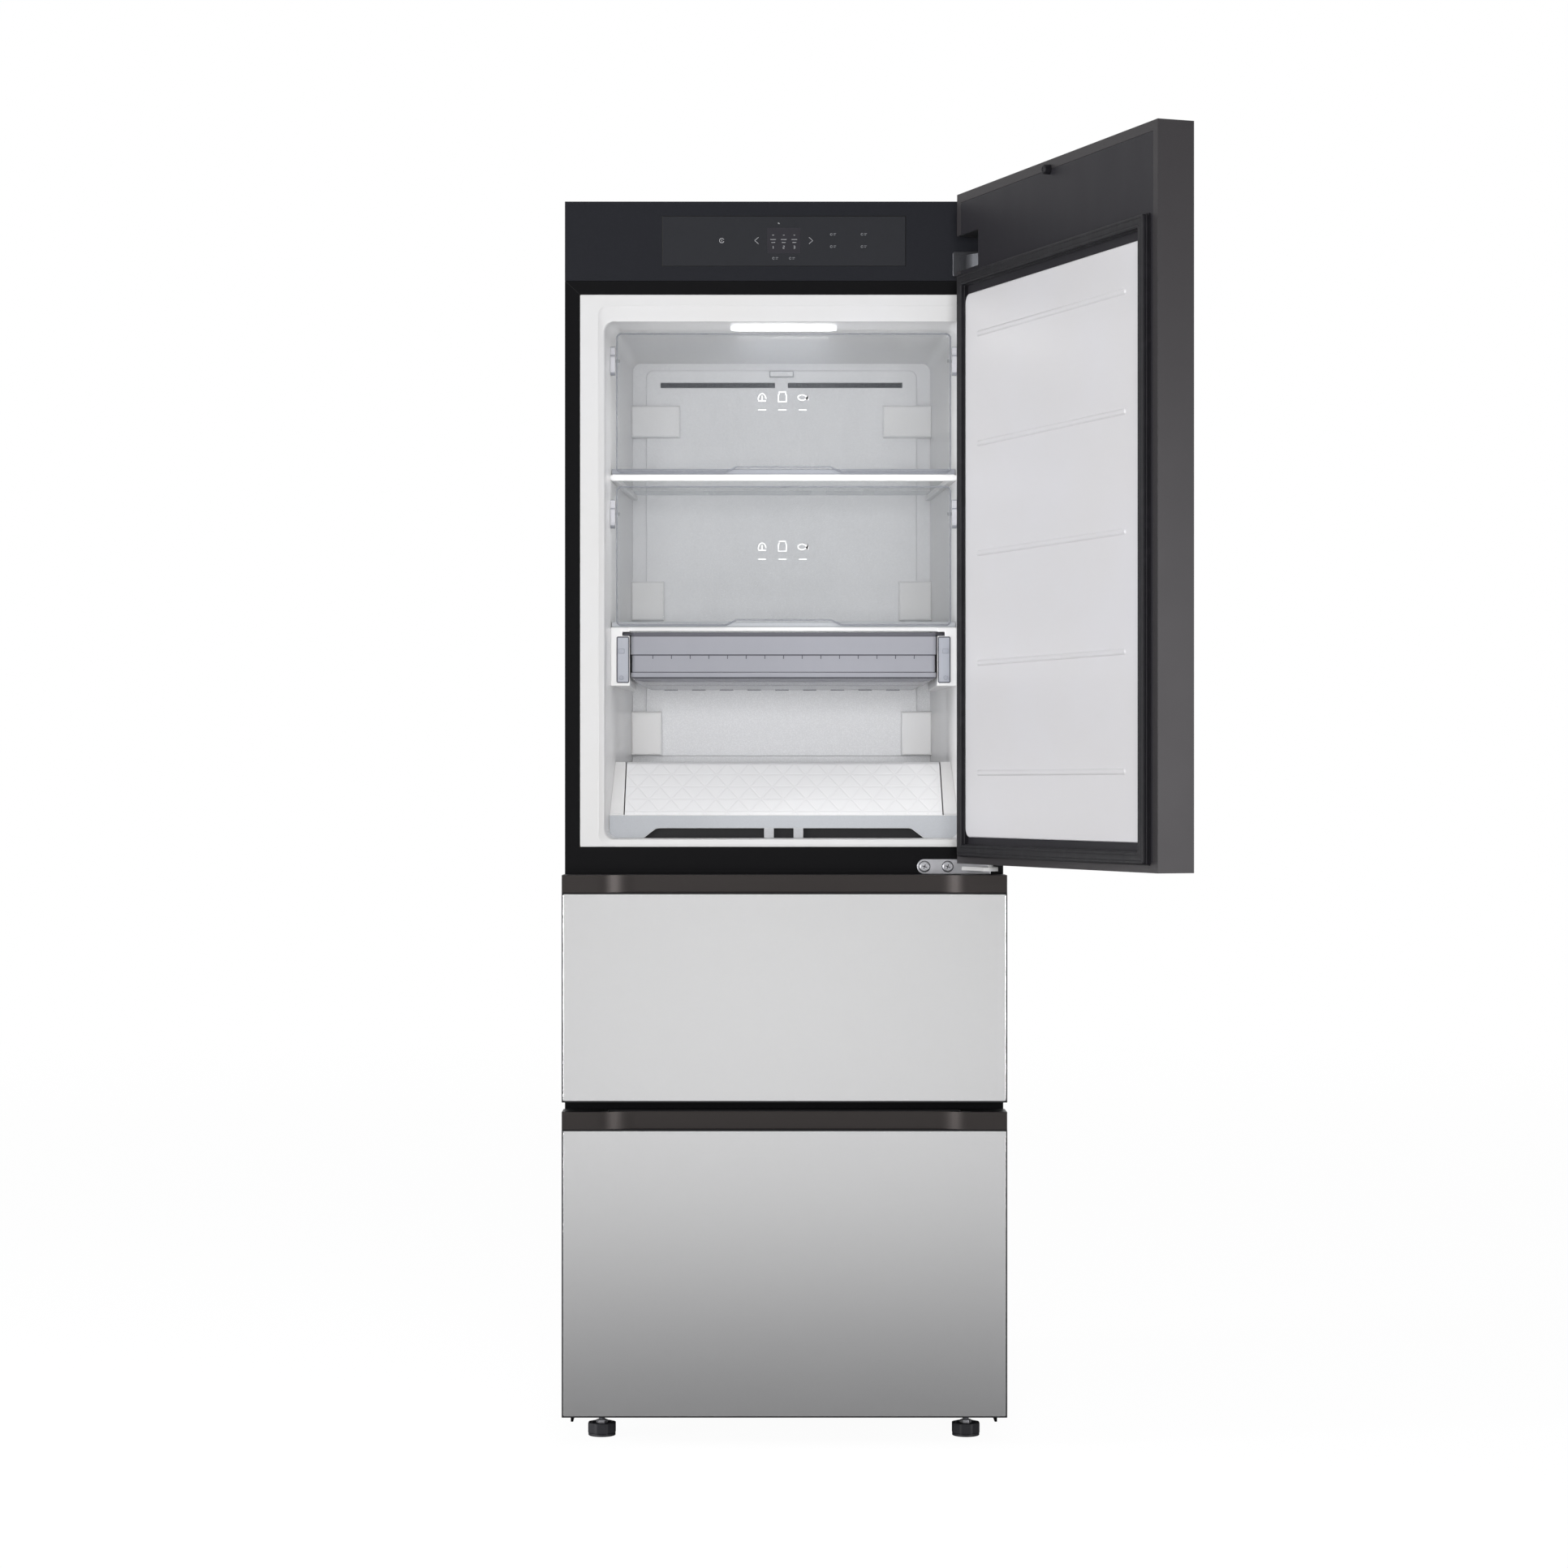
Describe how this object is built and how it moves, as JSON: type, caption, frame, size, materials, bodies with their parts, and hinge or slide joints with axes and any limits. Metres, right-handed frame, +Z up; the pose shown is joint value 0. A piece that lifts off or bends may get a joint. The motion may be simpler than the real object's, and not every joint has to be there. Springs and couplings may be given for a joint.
{
  "type": "kimchi refrigerator",
  "caption": "Upright kimchi refrigerator: hinged upper door shown open on a lit compartment with swing guards, shelves and tray, above pull-out drawers with full-width grip strips.",
  "frame": {"origin": "on the floor, under the centre of the cabinet's footprint", "axes": "+Z up, front faces -Y, door hinge on the +X side"},
  "size_m": [0.8736, 1.3539, 1.8743],
  "materials": {
    "cabinet_paint": "satin metallic paint",
    "zinc_sheet": "galvanised sheet",
    "black_steel": "black paint",
    "fascia_plastic": "fine satin",
    "touch_panel": "smooth",
    "white_plastic": "moulded white",
    "insulation": "rigid foam",
    "grey_plastic": "moulded light grey",
    "lamp_lens": "lit diffuser",
    "shelf_glass": "polished edge",
    "trim_silver": "silver film",
    "clear_plastic": "clear moulding",
    "tray_plastic": "bluish clear moulding",
    "aluminium_fins": "bare fins",
    "motor_can": "black enamel",
    "black_plastic": "matt black",
    "hinge_steel": "zinc plated",
    "silver_front": "brushed silver steel",
    "dark_edge": "brushed dark grey",
    "inner_plate": "satin dark grey",
    "door_white": "moulded white",
    "gasket_rubber": "soft bellows",
    "handle_bronze": "anodised bronze grey",
    "bush_plastic": "acetal"
  },
  "bodies": {
    "cabinet": {"outer_cabinet": "cabinet_paint", "rear_panel": "zinc_sheet", "machine_cover": "zinc_sheet", "roller_brackets": "zinc_sheet", "fixed_runners": "zinc_sheet", "base_pan": "black_steel", "front_frame": "black_steel", "foot_brackets": "black_steel", "control_fascia": "fascia_plastic", "touch_plate": "touch_panel", "upper_liner": "white_plastic", "middle_liner": "white_plastic", "lower_liner": "white_plastic", "floor_cover": "white_plastic", "tray_rails": "white_plastic", "back_wall": "grey_plastic", "duct_cover": "grey_plastic", "corner_blocks": "grey_plastic", "guard_brackets": "grey_plastic", "foam_insulation": "insulation", "lamp_lens": "lamp_lens", "shelves": "shelf_glass", "shelf_trims": "trim_silver", "bottom_trim": "trim_silver", "evaporator": "aluminium_fins", "condenser": "aluminium_fins", "compressor": "motor_can", "fan_motors": "motor_can", "power_gland": "black_plastic", "top_hinge": "hinge_steel", "middle_hinge": "hinge_steel"},
    "door": {"door_outer_panel": "silver_front", "door_edge_frame": "dark_edge", "door_foam": "insulation", "door_inner_plate": "inner_plate", "door_liner": "door_white", "door_gasket": "gasket_rubber", "door_bumper": "gasket_rubber", "door_bushes": "bush_plastic"},
    "middle_drawer": {"middle_front_panel": "silver_front", "middle_front_core": "black_plastic", "middle_handle_strip": "handle_bronze", "middle_gasket": "gasket_rubber", "middle_bin_box": "white_plastic"},
    "lower_drawer": {"lower_front_panel": "silver_front", "lower_front_core": "black_plastic", "lower_handle_strip": "handle_bronze", "lower_gasket": "gasket_rubber", "lower_bin_box": "white_plastic"},
    "middle_runner": {"middle_runner_link": "zinc_sheet"},
    "lower_runner": {"lower_runner_link": "zinc_sheet"},
    "upper_guard_body": {"upper_guard": "clear_plastic"},
    "lower_guard_body": {"lower_guard": "clear_plastic"},
    "tray": {"see_through_tray": "tray_plastic"},
    "evaporator_fan_body": {"evaporator_fan": "white_plastic"},
    "condenser_fan_body": {"condenser_fan": "black_plastic"},
    "left_foot_body": {"left_foot": "black_plastic"},
    "right_foot_body": {"right_foot": "black_plastic"},
    "left_roller_body": {"left_roller": "gasket_rubber"},
    "right_roller_body": {"right_roller": "gasket_rubber"}
  },
  "joints": [
    {"name": "door_hinge", "type": "hinge", "parent": "cabinet", "child": "door", "pos_m": [0.3085, -0.391, 0], "axis": [0, 0, 1], "range_deg": [-110.3, 9.7]},
    {"name": "middle_drawer_slide", "type": "slide", "parent": "cabinet", "child": "middle_drawer", "axis": [0, -1, 0], "range_m": [0, 0.43]},
    {"name": "middle_runner_slide", "type": "slide", "parent": "cabinet", "child": "middle_runner", "axis": [0, -1, 0], "range_m": [0, 0.215]},
    {"name": "lower_drawer_slide", "type": "slide", "parent": "cabinet", "child": "lower_drawer", "axis": [0, -1, 0], "range_m": [0, 0.33]},
    {"name": "lower_runner_slide", "type": "slide", "parent": "cabinet", "child": "lower_runner", "axis": [0, -1, 0], "range_m": [0, 0.165]},
    {"name": "upper_guard_hinge", "type": "hinge", "parent": "cabinet", "child": "upper_guard_body", "pos_m": [0, -0.245, 1.6413], "axis": [-1, 0, 0], "range_deg": [0, 65]},
    {"name": "lower_guard_hinge", "type": "hinge", "parent": "cabinet", "child": "lower_guard_body", "pos_m": [0, -0.245, 1.4063], "axis": [-1, 0, 0], "range_deg": [0, 65]},
    {"name": "tray_slide", "type": "slide", "parent": "cabinet", "child": "tray", "axis": [0, -1, 0], "range_m": [0, 0.24]},
    {"name": "evaporator_fan_spin", "type": "hinge", "parent": "cabinet", "child": "evaporator_fan_body", "pos_m": [0, 0.173, 1.5553], "axis": [0, 1, 0], "continuous": true},
    {"name": "condenser_fan_spin", "type": "hinge", "parent": "cabinet", "child": "condenser_fan_body", "pos_m": [-0.2105, 0.2225, 0.12], "axis": [1, 0, 0], "continuous": true},
    {"name": "left_foot_screw", "type": "hinge", "parent": "cabinet", "child": "left_foot_body", "pos_m": [-0.277, -0.295, 0], "axis": [0, 0, 1], "continuous": true},
    {"name": "right_foot_screw", "type": "hinge", "parent": "cabinet", "child": "right_foot_body", "pos_m": [0.277, -0.295, 0], "axis": [0, 0, 1], "continuous": true},
    {"name": "left_roller_spin", "type": "hinge", "parent": "cabinet", "child": "left_roller_body", "pos_m": [-0.277, 0.275, 0.02], "axis": [1, 0, 0], "continuous": true},
    {"name": "right_roller_spin", "type": "hinge", "parent": "cabinet", "child": "right_roller_body", "pos_m": [0.277, 0.275, 0.02], "axis": [1, 0, 0], "continuous": true}
  ],
  "couplings": [
    {"joint": "middle_runner_slide", "follows": "middle_drawer_slide", "ratio": 0.5},
    {"joint": "lower_runner_slide", "follows": "lower_drawer_slide", "ratio": 0.5}
  ]
}
